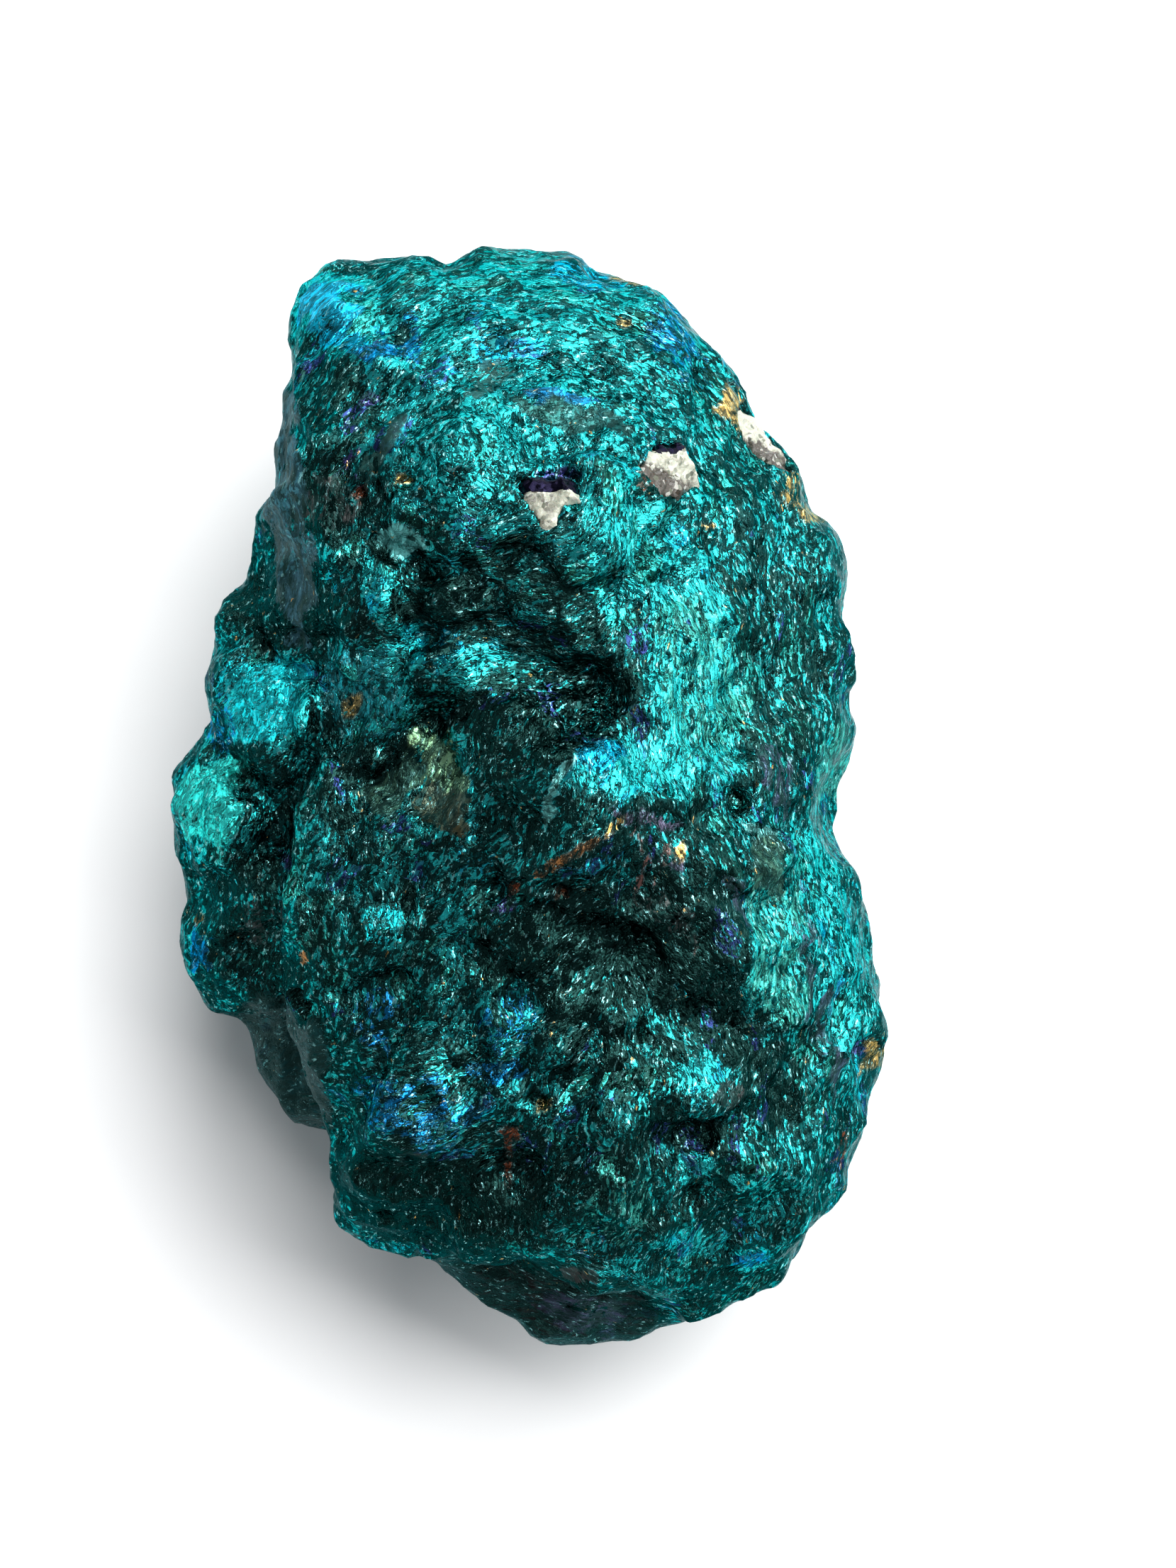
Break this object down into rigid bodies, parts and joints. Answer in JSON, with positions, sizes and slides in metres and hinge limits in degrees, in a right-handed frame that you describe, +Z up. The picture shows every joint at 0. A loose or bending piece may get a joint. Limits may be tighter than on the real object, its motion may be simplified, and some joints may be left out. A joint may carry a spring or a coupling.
{
  "type": "chalcopyrite specimen",
  "caption": "Rough lump of chalcopyrite with teal, blue and violet tarnish and grains of white quartz, lying on its back.",
  "frame": {"origin": "on the ground, under the middle of the stone's box", "axes": "+Y along the stone's length towards its domed end, +X across it, +Z up out of its face; the stone lies on its back"},
  "size_m": [0.0366, 0.0562, 0.0285],
  "materials": {
    "tarnish": "metallic tarnish, teal with blue, violet and gold",
    "quartz": "rough milky quartz"
  },
  "bodies": {
    "root": {"chalcopyrite": "tarnish", "quartz_grain_middle": "quartz", "quartz_grain_right": "quartz", "quartz_crust_edge": "quartz"}
  },
  "joints": []
}
